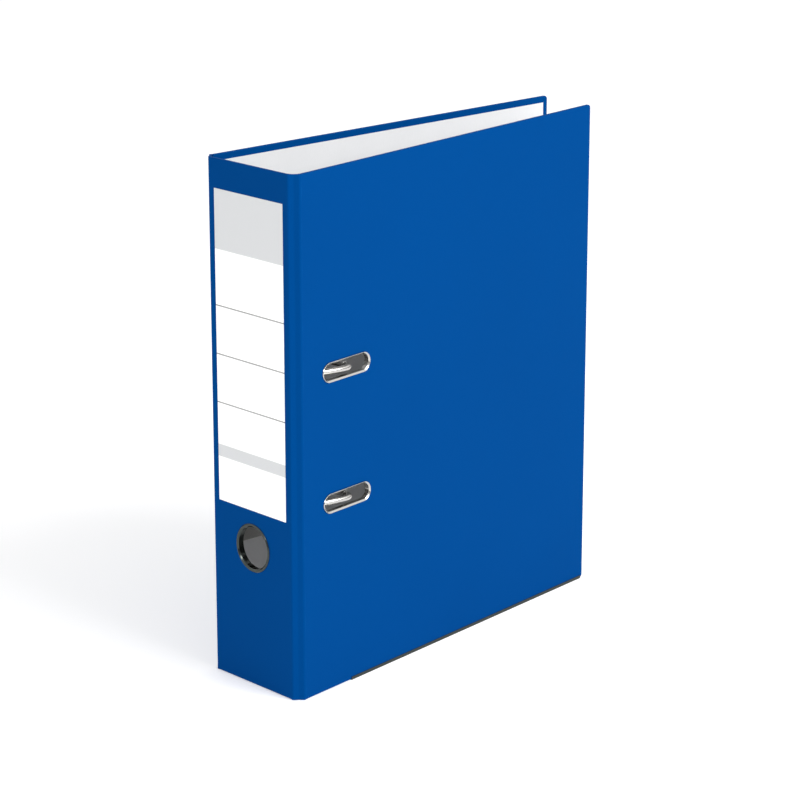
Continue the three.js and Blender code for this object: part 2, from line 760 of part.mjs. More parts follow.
function mechanism() {
  const group = new THREE.Group();
  group.position.set(-spineWidth / 2 + panelThickness, 0, bottom + mechanismHeight);
  group.add(
    part("base_plate", basePlate(), nickel),
    part("post_lower", post(postPlaces[0]), nickel),
    part("post_upper", post(postPlaces[1]), nickel),
    part("arch_wire", archWire(), nickel),
    part("lever", lever(), nickel),
    part("lever_pin", leverPin(), nickel),
    part("lever_roller", roller(), nickel),
    part("lever_roller_pin", rollerPin(), nickel),
    part("compressor_bar", compressorBar(), nickel),
  );
  rivetPlaces.forEach((place, i) => group.add(part(`rivet_${i + 1}`, rivet(place), nickel)));
  return group;
}

const leverArchFile = new THREE.Group();
leverArchFile.add(backCover(), spine(), frontCover(), mechanism());

// The origin is on the ground, under the middle of the whole file.
leverArchFile.updateMatrixWorld(true);
const extent = new THREE.Box3().setFromObject(leverArchFile, true);
const middle = extent.getCenter(new THREE.Vector3());
leverArchFile.position.set(-middle.x, -middle.y, -extent.min.z);

export default leverArchFile;
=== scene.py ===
# %% [markdown]
# # A lever arch file, finished in Blender
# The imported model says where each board, rivet and wire sits, and which body carries it. The fine surfaces
# are built on top of those places. Outer faces and middles come from the frame, and the rest are named
# sizes in millimetres.

# %% Load the frame
from math import copysign, cos, pi, radians, sin, tan

import bmesh
import bpy
from mathutils import Matrix, Vector


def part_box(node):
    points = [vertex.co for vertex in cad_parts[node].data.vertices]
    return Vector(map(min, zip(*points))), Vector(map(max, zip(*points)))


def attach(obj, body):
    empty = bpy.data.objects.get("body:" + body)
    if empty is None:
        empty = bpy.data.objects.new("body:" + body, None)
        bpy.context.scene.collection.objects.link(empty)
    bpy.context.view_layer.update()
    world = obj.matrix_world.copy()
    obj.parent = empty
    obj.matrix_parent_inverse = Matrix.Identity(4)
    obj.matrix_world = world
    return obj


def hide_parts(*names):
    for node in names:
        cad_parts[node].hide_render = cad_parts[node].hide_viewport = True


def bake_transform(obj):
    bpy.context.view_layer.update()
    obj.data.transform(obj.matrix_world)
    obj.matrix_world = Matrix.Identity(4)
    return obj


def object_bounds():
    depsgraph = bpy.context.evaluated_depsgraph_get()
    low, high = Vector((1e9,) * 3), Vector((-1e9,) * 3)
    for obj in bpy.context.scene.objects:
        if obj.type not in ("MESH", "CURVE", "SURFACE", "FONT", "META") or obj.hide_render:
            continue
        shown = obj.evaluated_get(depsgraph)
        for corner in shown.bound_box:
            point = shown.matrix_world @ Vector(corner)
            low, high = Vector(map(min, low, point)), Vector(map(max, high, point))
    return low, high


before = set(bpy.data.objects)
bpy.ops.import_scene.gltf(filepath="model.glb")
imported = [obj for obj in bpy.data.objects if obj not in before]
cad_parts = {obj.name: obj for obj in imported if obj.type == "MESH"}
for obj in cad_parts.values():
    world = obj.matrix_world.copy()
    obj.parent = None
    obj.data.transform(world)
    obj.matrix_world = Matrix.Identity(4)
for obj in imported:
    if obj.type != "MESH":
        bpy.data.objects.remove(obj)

cad_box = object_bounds()
MM = 0.001

# %% [markdown]
# ## Four places to work from
# A file is three flat panels and a mechanism. Each is easiest to draw lying on a bench, so each gets a
# matrix that carries it to where it stands. On a panel the first coordinate is the depth below its outer
# face, the second runs along it, and the third is height. On the mechanism the first is height over the
# back liner. The front cover leans in, because a closed file is narrower at its open edge.

# %% Panel and mechanism frames
SPINE_WIDTH = 80
CLOSED_TILT = radians(7.5)


def middle_of(node_name):
    """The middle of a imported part, in metres."""
    return [(low + high) / 2 for low, high in zip(*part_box(node_name))]


def frame_at(origin, depth, along):
    """A matrix whose axes are depth below a face, distance along it, and height."""
    return Matrix((*zip(depth, along, (0, 0, 1), origin), (0, 0, 0, 1)))


left_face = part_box("back_cover_film")[0].x
right_face = left_face + SPINE_WIDTH * MM
spine_middle = (left_face + right_face) / 2
spine_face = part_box("spine_film")[0].y
liner_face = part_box("back_cover_liner")[1].x
plate_middle = middle_of("base_plate")[2]
lean, rise = sin(CLOSED_TILT), cos(CLOSED_TILT)
BACK = frame_at((left_face, spine_face, 0), (1, 0, 0), (0, 1, 0))
SPINE = frame_at((spine_middle, spine_face, 0), (0, 1, 0), (1, 0, 0))
FRONT = frame_at((right_face, spine_face, 0), (-rise, -lean, 0), (-lean, rise, 0))
MECHANISM = frame_at((liner_face, spine_face, plate_middle), (1, 0, 0), (0, 1, 0))
print("mechanism middle at", round(plate_middle / MM, 2), "mm above the desk")

# %% [markdown]
# ## From points to a clean mesh
# Real edges are never knife sharp: board is rolled by its wrapping, sheet steel leaves the press with a
# small radius. Two helpers give every mesh that: one bevels it, and one lets flat faces stay flat in the
# shading while their edges catch light. Stamped shapes are joined and cut by booleans before that.
# The modifiers are applied at once, which keeps each mesh final.

# %% Mesh helpers
def put(name, data):
    """A new object in the scene, with this mesh, lamp or camera."""
    made = bpy.data.objects.new(name, data)
    bpy.context.scene.collection.objects.link(made)
    return made


def mesh_of(corners, faces):
    """A closed mesh from corners in millimetres, with doubled corners merged and every face outwards."""
    mesh = bpy.data.meshes.new("draft")
    mesh.from_pydata([Vector(corner) * MM for corner in corners], [], faces)
    shape = bmesh.new()
    shape.from_mesh(mesh)
    bmesh.ops.remove_doubles(shape, verts=shape.verts, dist=1e-7)
    bmesh.ops.dissolve_degenerate(shape, edges=shape.edges, dist=1e-8)
    bmesh.ops.recalc_face_normals(shape, faces=shape.faces)
    shape.to_mesh(mesh)
    shape.free()
    return mesh


def with_modifier(mesh, kind, **settings):
    """The mesh after one modifier."""
    holder = put("holder", mesh)
    modifier = holder.modifiers.new(kind, kind)
    for key, value in settings.items():
        setattr(modifier, key, value)
    graph = bpy.context.evaluated_depsgraph_get()
    made = bpy.data.meshes.new_from_object(holder.evaluated_get(graph))
    bpy.data.objects.remove(holder)
    return made


def bevelled(mesh, width, segments=3, angle=35):
    """Every edge sharper than the angle rounded over by the width, in millimetres."""
    return with_modifier(
        mesh, "BEVEL", width=width * MM, segments=segments, limit_method="ANGLE",
        angle_limit=radians(angle), use_clamp_overlap=True,
    )


def combined(mesh, operation, *tools):
    """Joins or cuts a mesh with others, one after another."""
    for tool in tools:
        holder = put("tool", tool)
        mesh = with_modifier(mesh, "BOOLEAN", operation=operation, solver="EXACT", object=holder)
        bpy.data.objects.remove(holder)
    return mesh


def cut(mesh, *tools):
    return combined(mesh, "DIFFERENCE", *tools)


def joined(mesh, *others):
    return combined(mesh, "UNION", *others)


def shaded(mesh, angle=38):
    """Smooth over gentle bends, sharp at true corners, with big flat faces kept flat."""
    mesh.shade_smooth()
    mesh.set_sharp_from_angle(angle=radians(angle))
    return with_modifier(mesh, "WEIGHTED_NORMAL", keep_sharp=True, weight=80)


# %% [markdown]
# ## Outlines, prisms and turned work
# Most metal parts are stamped from sheet or turned. A stamping is an outline given a thickness. A turned
# part is a profile carried round an axis, and a long eyelet is the same with its halves drawn apart. Each
# starts from an outline whose corners are rounded by true arcs.

# %% Outline and solid helpers
def filleted(points, radius, steps=5):
    """A closed outline with its corners rounded; radius is one number, or one for each corner."""
    radii = radius if hasattr(radius, "__len__") else [radius] * len(points)
    outline = []
    for i, size in enumerate(radii):
        corner = Vector(points[i])
        if not size:
            outline.append(tuple(corner))
            continue
        before = (Vector(points[i - 1]) - corner).normalized()
        after = (Vector(points[(i + 1) % len(points)]) - corner).normalized()
        half = before.angle(after) / 2
        centre = corner + (before + after).normalized() * (size / sin(half))
        start = corner + before * (size / tan(half)) - centre
        turn = start.angle_signed(corner + after * (size / tan(half)) - centre)
        for k in range(steps + 1):
            angle = -turn * k / steps
            c, s = cos(angle), sin(angle)
            outline.append((centre.x + start.x * c - start.y * s, centre.y + start.x * s + start.y * c))
    return outline


def oval(middle, radius, straight=0, steps=64):
    """A circle, or a long oval whose halves are drawn apart along the first axis."""
    points = []
    for k in range(steps):
        angle = 2 * pi * (k + 0.5) / steps
        apart = copysign(straight / 2, cos(angle))
        points.append((middle[0] + radius * cos(angle) + apart, middle[1] + radius * sin(angle)))
    return points


def rectangle(a0, a1, b0, b1):
    return [(a0, b0), (a1, b0), (a1, b1), (a0, b1)]


def arc_points(middle, radius, start, end, steps=10):
    """Points on an arc between two angles in degrees."""
    angles = [radians(start + (end - start) * k / steps) for k in range(steps + 1)]
    return [(middle[0] + radius * cos(a), middle[1] + radius * sin(a)) for a in angles]


def lofted(corners, count):
    """A closed solid from rings of so many corners: walls from ring to ring, and a cap at each end."""
    last = len(corners) - count
    walls = [
        (ring + i, ring + (i + 1) % count, ring + count + (i + 1) % count, ring + count + i)
        for ring in range(0, last, count) for i in range(count)
    ]
    return mesh_of(corners, [tuple(range(count)), tuple(range(last, last + count)), *walls])


def prism(outline, low, high):
    """An outline in the second and third coordinates, carried along the first."""
    return lofted([(h, a, b) for h in (low, high) for a, b in outline], len(outline))


def bore(place, radius, low, high, steps=32):
    """A round prism that drills a hole."""
    return prism(oval(place, radius, steps=steps), low, high)


def turned(profile, steps=72, straight=0):
    """A closed profile of (radius, height) carried round the first axis."""
    count = len(profile)
    corners, faces = [], []
    for k in range(steps):
        angle = 2 * pi * (k + 0.5) / steps
        apart = copysign(straight / 2, cos(angle))
        corners += [(h, r * cos(angle) + apart, r * sin(angle)) for r, h in profile]
        ring, following = k * count, (k + 1) % steps * count
        for j in range(count):
            up = (j + 1) % count
            if profile[j][0] or profile[up][0]:
                faces.append((ring + j, ring + up, following + up, following + j))
    return mesh_of(corners, faces)


def moved(mesh, x=0, y=0, z=0):
    mesh.transform(Matrix.Translation(Vector((x, y, z)) * MM))
    return mesh


def upright(mesh):
    """Turns a prism or a turned piece so that its first axis points along the height of the file."""
    mesh.transform(Matrix(((0, 1, 0, 0), (0, 0, 1, 0), (1, 0, 0, 0), (0, 0, 0, 1))))
    return mesh


# %% [markdown]
# ## Camera
# A file's edges stay nearly parallel when it is seen from far away, so the camera stands well back with a
# long lens and looks down a little. It faces the corner between the spine and the front cover.

# %% Camera
VIEW_YAW = radians(46.84)
VIEW_PITCH = radians(16.29)
VIEW_DISTANCE = 1.7934
AIM_OFFSET = Vector((-9.1, -13.4, -8.3)) * MM
SENSOR_WIDTH, LENS = 36, 130.47

box_middle = (cad_box[0] + cad_box[1]) / 2
aim = box_middle + AIM_OFFSET
forward = Vector((
    -sin(VIEW_YAW) * cos(VIEW_PITCH),
    cos(VIEW_YAW) * cos(VIEW_PITCH),
    -sin(VIEW_PITCH),
))
camera = put("camera", bpy.data.cameras.new("camera"))
camera.location = aim - forward * VIEW_DISTANCE
camera.rotation_euler = forward.to_track_quat("-Z", "Y").to_euler()
camera.data.sensor_width, camera.data.lens = SENSOR_WIDTH, LENS
bpy.context.scene.camera = camera
print("camera stands", round(VIEW_DISTANCE, 2), "m away")

# %% [markdown]
# ## Floor and studio light
# The file stands on a plain opal light table, which glows faintly and keeps the ground white up to its foot.
# One large soft box faces the front cover, and a small bright one before the spine draws highlights on the
# rims. The sky is brightest half way up and dark at eye level and overhead, so that polished steel has dark
# bands to reflect.

# %% Floor, sky and lights
def node(tree, kind, inputs=None, **settings):
    """Adds a shader node, sets its choices, and fills its inputs with values or links."""
    made = tree.nodes.new("ShaderNode" + kind)
    for key, value in settings.items():
        setattr(made, key, value)
    for key, value in (inputs or {}).items():
        if isinstance(value, bpy.types.NodeSocket):
            tree.links.new(value, made.inputs[key])
        else:
            made.inputs[key].default_value = value
    return made


def maths(tree, operation, first, second=0.0, clamp=False):
    return node(tree, "Math", {0: first, 1: second}, operation=operation, use_clamp=clamp).outputs[0]


def ranged(tree, value, low, high, start=0.0, end=1.0):
    """Carries a value that runs from start to end over to the range from low to high."""
    return node(tree, "MapRange", {
        "Value": value, "From Min": start, "From Max": end, "To Min": low, "To Max": high,
    }).outputs["Result"]


def blank_material(name, inputs):
    """A material with nothing but a Principled BSDF of its own, and the inputs that are the same all over."""
    material = bpy.data.materials.new(name)
    material.use_nodes = True
    tree = material.node_tree
    tree.nodes.clear()
    shader = node(tree, "BsdfPrincipled", inputs)
    node(tree, "OutputMaterial", {"Surface": shader.outputs["BSDF"]})
    return material, tree, shader


FLOOR_HALF = 30.0
floor_mesh = bpy.data.meshes.new("floor")
floor_corners = rectangle(-FLOOR_HALF, FLOOR_HALF, -FLOOR_HALF, FLOOR_HALF)
floor_mesh.from_pydata([(x, y, 0) for x, y in floor_corners], [], [(0, 1, 2, 3)])
floor = put("floor", floor_mesh)
floor_paint, floor_tree, floor_shader = blank_material("studio_floor", {
    "Emission Color": (1, 1, 1, 1), "Emission Strength": 0.3, "Roughness": 0.9, "Specular IOR Level": 0.1,
})
speckle = node(floor_tree, "TexNoise", {"Scale": 60.0, "Detail": 3.0}).outputs["Fac"]
floor_tree.links.new(ranged(floor_tree, speckle, 0.9, 0.94), floor_shader.inputs["Base Color"])
floor_mesh.materials.append(floor_paint)

world = bpy.data.worlds.new("studio")
bpy.context.scene.world = world
world.use_nodes = True
sky_tree = world.node_tree
direction = node(sky_tree, "TexCoord").outputs["Generated"]
height = node(sky_tree, "SeparateXYZ", {0: direction}).outputs["Z"]
brightening = ranged(sky_tree, height, 0.1, 1.3, 0.0, 0.45)
fading = ranged(sky_tree, height, 1.0, 0.08, 0.6, 0.92)
sky = maths(sky_tree, "MULTIPLY", brightening, fading)
sky_tree.links.new(sky, sky_tree.nodes["Background"].inputs["Color"])


def soft_box(name, place, width, height, power):
    """A rectangular area light that faces the middle of the file."""
    lamp = bpy.data.lights.new(name, "AREA")
    lamp.shape = "RECTANGLE"
    lamp.size, lamp.size_y = width, height
    lamp.energy = power
    holder = put(name, lamp)
    holder.location = place
    holder.rotation_euler = (box_middle - Vector(place)).to_track_quat("-Z", "Y").to_euler()


soft_box("cover_box", (1.9, 0.45, 1.55), 1.5, 1.5, 46)
soft_box("spine_box", (0.5, -1.9, 1.15), 0.3, 0.6, 5.5)
bpy.context.scene.view_settings.view_transform = "Standard"
print("two soft boxes and a sky that is brightest half way up")

# %% [markdown]
# ## Effects that several finishes share
# Wear on edges, dust, drawn lines, paper fibre and the emboss of the film are node groups with named inputs,
# so each idea is written once. A group puts out masks and heights, and the shader stays in the material.

# %% Group builder
def effect_group(name, inputs, outputs):
    """An empty node group with float inputs and outputs, and the two nodes that carry them."""
    tree = bpy.data.node_groups.new(name, "ShaderNodeTree")
    for label, value in inputs.items():
        socket = tree.interface.new_socket(name=label, in_out="INPUT", socket_type="NodeSocketFloat")
        socket.default_value = value
    for label in outputs:
        tree.interface.new_socket(name=label, in_out="OUTPUT", socket_type="NodeSocketFloat")
    return tree, tree.nodes.new("NodeGroupInput").outputs, tree.nodes.new("NodeGroupOutput").inputs


def locate(tree):
    return node(tree, "TexCoord").outputs["Object"]


def noise(tree, place, scale, detail=2.0, roughness=0.5):
    return node(tree, "TexNoise", {
        "Vector": place, "Scale": scale, "Detail": detail, "Roughness": roughness,
    }).outputs["Fac"]


# %% [markdown]
# ### Film emboss
# Polypropylene film leaves its roller with a fine leather-like grain that hides scratches. Cells less than
# a millimetre wide, softened by noise, give that, and a slow drift in tone keeps a large cover alive.

# %% Film emboss group
emboss, given, result = effect_group("film_emboss", {"Cell Size": 0.0006}, ["Height", "Tone"])
place = locate(emboss)
frequency = maths(emboss, "DIVIDE", 1.0, given["Cell Size"])
cells = node(emboss, "TexVoronoi", {"Vector": place, "Scale": frequency}, feature="SMOOTH_F1")
rounded = maths(emboss, "MULTIPLY", cells.outputs["Distance"], 0.6)
crumb = noise(emboss, place, frequency, 3.0)
emboss.links.new(maths(emboss, "ADD", rounded, crumb), result["Height"])
emboss.links.new(noise(emboss, place, 9.0, 3.0), result["Tone"])

# %% [markdown]
# ### Edge wear
# Handling polishes an edge first. The Bevel node bends the normal near edges only, so where it differs from
# the true normal is a mask of the edges, whatever the mesh. Noise breaks it up.

# %% Edge wear group
# On the blue film this edge mask also places a painted edge highlight, besides the wear.
wear, given, result = effect_group("edge_wear", {"Width": 0.0006, "Amount": 0.5}, ["Mask"])
bent = node(wear, "Bevel", {"Radius": given["Width"]}, samples=4).outputs["Normal"]
straight_normal = node(wear, "NewGeometry").outputs["Normal"]
alike = node(wear, "VectorMath", {0: bent, 1: straight_normal}, operation="DOT_PRODUCT").outputs["Value"]
edge = maths(wear, "MULTIPLY", maths(wear, "SUBTRACT", 1.0, alike), 6.0, clamp=True)
patches = noise(wear, locate(wear), 120.0, 4.0)
strength = maths(wear, "MULTIPLY", ranged(wear, patches, 0.0, 1.0, 0.35, 0.7), given["Amount"])
wear.links.new(maths(wear, "MULTIPLY", edge, strength), result["Mask"])

# %% [markdown]
# ### Dust
# Dust settles where a surface faces up, so its mask follows the upward part of the normal, with a fine
# noise to make it patchy.

# %% Dust group
dust, given, result = effect_group("dust", {"Amount": 0.2}, ["Mask"])
facing = node(dust, "SeparateXYZ", {0: node(dust, "NewGeometry").outputs["Normal"]}).outputs["Z"]
specks = noise(dust, locate(dust), 700.0, 5.0, 0.65)
lying = maths(dust, "MULTIPLY", ranged(dust, facing, 0.0, 1.0, 0.3), specks)
dust.links.new(maths(dust, "MULTIPLY", lying, given["Amount"]), result["Mask"])

# %% [markdown]
# ### Drawn lines
# Plated wire and strip keep faint lines from the die and from sliding. Noise that is squeezed hard across
# one axis gives hairlines along the others.

# %% Drawn-line group
lines, given, result = effect_group("drawn_lines", {"Spacing": 0.0003}, ["Height", "Mask"])
place = locate(lines)
squeezed = node(lines, "Mapping", {"Vector": place, "Scale": (0.03, 0.03, 1.0)}).outputs["Vector"]
hair = noise(lines, squeezed, maths(lines, "DIVIDE", 1.0, given["Spacing"]), 4.0, 0.7)
lines.links.new(hair, result["Height"])
smudge = noise(lines, place, 45.0, 3.0)
lines.links.new(maths(lines, "MULTIPLY", hair, smudge), result["Mask"])

# %% [markdown]
# ### Paper fibre
# Lining paper, label paper and greyboard share one structure: short matted fibres. Two noises at different
# scales, one of them stretched, stand for it.

# %% Paper fibre group
fibre, given, result = effect_group("paper_fibre", {"Fibre Size": 0.0008}, ["Height", "Tone"])
place = locate(fibre)
frequency = maths(fibre, "DIVIDE", 1.0, given["Fibre Size"])
stretched = node(fibre, "Mapping", {"Vector": place, "Scale": (1.0, 1.0, 0.35)}).outputs["Vector"]
matted = noise(fibre, stretched, frequency, 6.0, 0.62)
fibre.links.new(matted, result["Height"])
fine = maths(fibre, "MULTIPLY", matted, 0.6)
cloudy = maths(fibre, "MULTIPLY", noise(fibre, place, 30.0), 0.4)
fibre.links.new(maths(fibre, "ADD", fine, cloudy), result["Tone"])
print("effect groups:", ", ".join(sorted(group.name for group in bpy.data.node_groups)))

# %% [markdown]
# ## Finishes
# Each finish places the groups it needs and mixes their masks into one Principled BSDF. A number that is the
# same all over is set on the shader's own socket.

# %% Finish helpers
def placed(tree, group, **values):
    """A copy of an effect group in a material, with its own values."""
    made = node(tree, "Group", node_tree=group)
    for key, value in values.items():
        made.inputs[key.replace("_", " ")].default_value = value
    return made.outputs


def mixed(tree, mask, first, second):
    """A colour that goes from the first to the second as the mask goes from 0 to 1."""
    first, second = ((*end, 1) if isinstance(end, tuple) else end for end in (first, second))
    return node(tree, "Mix", {"Factor": mask, 6: first, 7: second}, data_type="RGBA").outputs[2]


def bump(tree, shader, height, strength, distance):
    made = node(tree, "Bump", {"Height": height, "Strength": strength, "Distance": distance})
    tree.links.new(made.outputs["Normal"], shader.inputs["Normal"])


# %% [markdown]
# ### Blue film
# The film is a deep, saturated blue, only half glossy. Its edges are slightly paler: partly rubbing, partly
# a painted edge highlight that keeps them visible with so little shine. A low specular level keeps pale
# surroundings from washing it out.

# %% Blue film
blue_film, tree, shader = blank_material("blue_embossed_film", {"Specular IOR Level": 0.005})
grain = placed(tree, emboss, Cell_Size=0.0007)
edge_tint_mask = placed(tree, wear, Width=0.0007, Amount=0.5)
settled = placed(tree, dust, Amount=0.02)
body_blue = mixed(tree, grain["Tone"], (0.0, 0.0475, 0.2), (0.0, 0.0525, 0.22))
# Paler blue at the edges: part rubbed wear, part painted edge highlight.
rubbed_and_highlit_blue = mixed(tree, edge_tint_mask["Mask"], body_blue, (0.003, 0.085, 0.29))
tree.links.new(mixed(tree, settled["Mask"], rubbed_and_highlit_blue, (0.45, 0.47, 0.5)), shader.inputs["Base Color"])
tree.links.new(ranged(tree, grain["Tone"], 0.36, 0.48), shader.inputs["Roughness"])
bump(tree, shader, grain["Height"], 0.25, 0.00006)

# %% [markdown]
# ### Papers
# The lining is smooth white paper, the label a slightly warmer white, and the greyboard core shows only
# where it is cut: at the finger hole, the eyelets and under the lining.

# %% Lining paper and greyboard
def paper(name, size, dark, light, roughness, depth):
    material, tree, shader = blank_material(name, {"Specular IOR Level": 0.25})
    sheet = placed(tree, fibre, Fibre_Size=size)
    tree.links.new(mixed(tree, sheet["Tone"], dark, light), shader.inputs["Base Color"])
    tree.links.new(ranged(tree, sheet["Tone"], roughness, roughness + 0.12), shader.inputs["Roughness"])
    bump(tree, shader, sheet["Height"], 0.2, depth)
    return material


lining_paper = paper("white_lining_paper", 0.0009, (0.64, 0.645, 0.655), (0.715, 0.718, 0.726), 0.62, 0.00004)
greyboard = paper("greyboard", 0.0016, (0.2, 0.175, 0.145), (0.36, 0.325, 0.28), 0.84, 0.00015)

# %% [markdown]
# ### Printed label
# The spine label is white paper with printed rules to write between: a grey field at its head, three thin
# lines, and a narrow grey bar near its foot. The print is placed by height, in millimetres below the head of
# the label, so it needs no image. Each band is a mask that is 1 between two heights.

# %% Printed label
label_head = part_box("spine_label")[1].z
label_paper, tree, shader = blank_material("printed_label_paper", {"Specular IOR Level": 0.3})
sheet = placed(tree, fibre, Fibre_Size=0.0005)
up = node(tree, "SeparateXYZ", {0: locate(tree)}).outputs["Z"]
below_head = maths(tree, "DIVIDE", maths(tree, "SUBTRACT", label_head, up), MM)
ink = mixed(tree, sheet["Tone"], (0.95, 0.95, 0.945), (1.0, 1.0, 0.995))
FIELD_GREY = (0.62, 0.63, 0.64)
RULE_GREY = (0.25, 0.25, 0.25)
for start, end, grey in (
    (-1, 36, FIELD_GREY), (69.6, 70.3, RULE_GREY), (99.1, 99.8, RULE_GREY),
    (128.7, 129.4, RULE_GREY), (155, 162.5, FIELD_GREY),
):
    after = maths(tree, "GREATER_THAN", below_head, start)
    before = maths(tree, "LESS_THAN", below_head, end)
    ink = mixed(tree, maths(tree, "MULTIPLY", after, before), ink, grey)
tree.links.new(ink, shader.inputs["Base Color"])
tree.links.new(ranged(tree, sheet["Tone"], 0.45, 0.6), shader.inputs["Roughness"])
bump(tree, shader, sheet["Height"], 0.12, 0.00003)

# %% [markdown]
# ### Nickel plate
# Arches, posts, lever and plate are bright nickel over steel: nearly a mirror, with drawn lines, a slightly
# warm tone, and smudges that vary the roughness. The ring, washer and edge rails get a much darker, greyer
# base colour: a painted dark reflection, standing in for the dark surroundings that polished nickel mirrors.

# %% Nickel finishes
def nickel(name, clean, worn, rubbed_to, roughness, scratch):
    material, tree, shader = blank_material(name, {"Metallic": 1.0})
    drawn = placed(tree, lines, Spacing=0.00035)
    edge_tint_mask = placed(tree, wear, Width=0.0004, Amount=0.6)
    settled = placed(tree, dust, Amount=0.12)
    steel = mixed(tree, drawn["Mask"], clean, worn)
    bright = mixed(tree, edge_tint_mask["Mask"], steel, rubbed_to)
    tree.links.new(mixed(tree, settled["Mask"], bright, (0.4, 0.4, 0.4)), shader.inputs["Base Color"])
    tree.links.new(ranged(tree, drawn["Mask"], roughness, roughness + 0.16), shader.inputs["Roughness"])
    bump(tree, shader, drawn["Height"], scratch, 0.00002)
    return material


bright_nickel = nickel(
    "bright_nickel", (0.54, 0.53, 0.505), (0.42, 0.41, 0.395), (0.7, 0.69, 0.67), 0.14, 0.12,
)
# The near-black base colours of dark_nickel are a painted dark reflection, not the metal's own colour.
dark_nickel = nickel(
    "dark_nickel", (0.055, 0.064, 0.06), (0.036, 0.042, 0.04), (0.14, 0.15, 0.145), 0.1, 0.1,
)
print(len(bpy.data.materials), "materials")

# %% [markdown]
# ## Putting a piece on the file
# Each finished mesh becomes one piece: carried to its place by one of the four matrices, given the finish
# of its material slot, tied to the body that it moves with, and the plain solid it stands for is hidden.

# %% Piece helper
finishes = {
    "blue_film": blue_film, "greyboard": greyboard, "white_liner": lining_paper,
    "label_paper": label_paper, "dark_nickel": dark_nickel, "nickel": bright_nickel,
}


def piece(name, mesh, where, body, slot, *stands_for):
    mesh.name = name
    mesh.transform(where)
    if where.is_negative:
        mesh.flip_normals()
    mesh.materials.clear()
    mesh.materials.append(finishes[slot])
    made = put(name, shaded(mesh))
    if body:
        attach(made, body)
    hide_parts(*stands_for)
    return made


# %% [markdown]
# ## Panels: film, board and lining
# A panel is greyboard with film glued outside and folded 14 mm over the edges, and paper lining inside that
# leaves a blue border. Modelling the wrap as a real sheet makes the soft edges and the border true shapes. A
# slab with rounded edges is hollowed for the board, and a mouth is cut in its inner wall. The board and the
# lining are the same slab with other depths. At a crease the slab ends square.

# %% Slab helper
BOTTOM, TOP = (corner.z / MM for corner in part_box("spine_film"))
COVER_DEPTH = (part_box("back_cover_film")[1].y - spine_face) / MM
FILM, BOARD, LINING, GLUE = 0.2, 1.8, 0.15, 0.05
FREE_CORNER = 2.2
EDGE_ROUND = 0.6


def slab(ends, free, inset, depths, rounds):
    """A flat slab with rounded edges: ends are its two ends along the panel, and free says which are free
    edges and not creases. inset shrinks it, depths are its two faces, rounds the rounding at each."""
    arc = [radians(90 * k / 5) for k in range(6)]
    section = [(rounds[0] * (1 - sin(a)), depths[0] + rounds[0] * (1 - cos(a))) for a in arc]
    section += [(rounds[1] * (1 - cos(a)), depths[1] - rounds[1] * (1 - sin(a))) for a in arc]
    corners = []
    for shrink, depth in section:
        edge = [(inset + shrink) * is_free for is_free in free]
        size = max(FREE_CORNER - inset - shrink, 0.1)
        outline = rectangle(
            ends[0] + edge[0], ends[1] - edge[1], BOTTOM + inset + shrink, TOP - inset - shrink,
        )
        radii = [size * free[0], size * free[1], size * free[1], size * free[0]]
        corners += [(depth, a, b) for a, b in filleted(outline, radii)]
    return lofted(corners, len(corners) // len(section))


# %% [markdown]
# The film's turn-in meets at each free corner in a mitre, where one flap ends against the other. A thin slit
# along the diagonal shows it.

# %% Panel builder
TURN_IN = 14
LINER_INSET = 4
BOARD_FACE = FILM + GLUE
BOARD_BACK = BOARD_FACE + BOARD
TURN_IN_BACK = BOARD_BACK + GLUE + FILM
LINER_FACE = TURN_IN_BACK + GLUE
PANEL = LINER_FACE + LINING
LINING_WRAP = 0.5
PAST = 1
SLIT = 0.08


def mitre_slits(end):
    """Thin prisms along the two diagonal joints of the turn-in at a free edge."""
    slits = []
    for edge, way in ((BOTTOM, 1), (TOP, -1)):
        near = Vector((end - TURN_IN - PAST, edge + way * (TURN_IN + PAST)))
        far = Vector((end - 1.5, edge + way * 1.5))
        across = (far - near).orthogonal().normalized() * SLIT
        corners = [tuple(near - across), tuple(far - across), tuple(far + across), tuple(near + across)]
        slits.append(prism(corners, BOARD_BACK + GLUE + FILM / 3, TURN_IN_BACK + PAST))
    return slits


def panel(name, body, where, ends, free, holes):
    """Film, board and lining of one panel. holes are outlines that go right through."""
    def lengthened(by):
        return [end + way * by * (not is_free) for end, is_free, way in zip(ends, free, (-1, 1))]

    tools = [prism(outline, -PAST, PANEL + PAST) for outline in holes]
    open_ends = lengthened(PAST)
    mouth = prism(rectangle(
        open_ends[0] + TURN_IN * free[0], open_ends[1] - TURN_IN * free[1], BOTTOM + TURN_IN, TOP - TURN_IN,
    ), BOARD_BACK, TURN_IN_BACK + PAST)
    film = slab(ends, free, 0, (0, TURN_IN_BACK), (EDGE_ROUND, EDGE_ROUND))
    hollow = slab(open_ends, free, FILM, (FILM, BOARD_BACK + GLUE), (EDGE_ROUND - FILM,) * 2)
    slits = mitre_slits(ends[1]) if free[1] else []
    film = cut(film, hollow, mouth, *tools, *slits)
    board_ends = lengthened(-LINING_WRAP)
    board = cut(slab(board_ends, free, BOARD_FACE, (BOARD_FACE, BOARD_BACK), (0.38, 0.38)), *tools)
    sheet = cut(slab(board_ends, free, LINER_INSET, (LINER_FACE, PANEL), (0.05, 0.05)), *tools)
    piece(name + "_film_wrap", film, where, body, "blue_film", body + "_film")
    piece(name + "_greyboard", board, where, body, "greyboard", body + "_board")
    piece(name + "_lining", sheet, where, body, "white_liner", body + "_liner")
    print(name, "panel with", len(holes), "holes")


# %% [markdown]
# Four rivets pass through the back cover, the finger hole through the spine, and the tops of the arches
# into two long slots in the front cover. Each hole is a little wider than the barrel that lines it.

